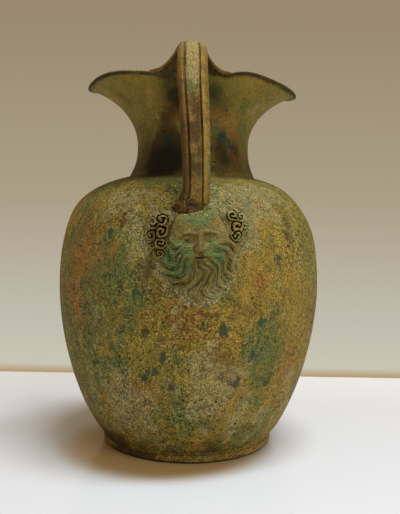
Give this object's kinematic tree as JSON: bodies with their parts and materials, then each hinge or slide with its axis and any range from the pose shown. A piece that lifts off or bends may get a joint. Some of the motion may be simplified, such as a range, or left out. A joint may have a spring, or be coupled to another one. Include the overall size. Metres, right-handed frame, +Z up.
{
  "type": "oinochoe",
  "caption": "Ancient-style bronze wine jug with a trefoil mouth, a forked strap handle, a bearded mask under the handle and a low soldered foot.",
  "frame": {"origin": "centre of the turned boss under the foot, on the jug's axis; z = 0 is the plane the foot rests on", "axes": "+Z up along the jug's axis, handle at -Y, pouring lobe towards +Y, side lobes towards +X and -X"},
  "size_m": [0.1504, 0.1569, 0.2222],
  "materials": {
    "vessel_bronze": "corroded, satin",
    "foot_bronze": "corroded, satin",
    "handle_bronze": "worn, satin",
    "mask_bronze": "corroded, green",
    "soft_solder": "dull grey"
  },
  "bodies": {
    "root": {"vessel_wall": "vessel_bronze", "foot_disc": "foot_bronze", "foot_solder": "soft_solder", "handle_strap": "handle_bronze", "handle_mask": "mask_bronze", "mask_solder": "soft_solder", "strap_solder": "soft_solder", "rim_solder_right": "soft_solder", "rim_solder_left": "soft_solder"}
  },
  "joints": []
}
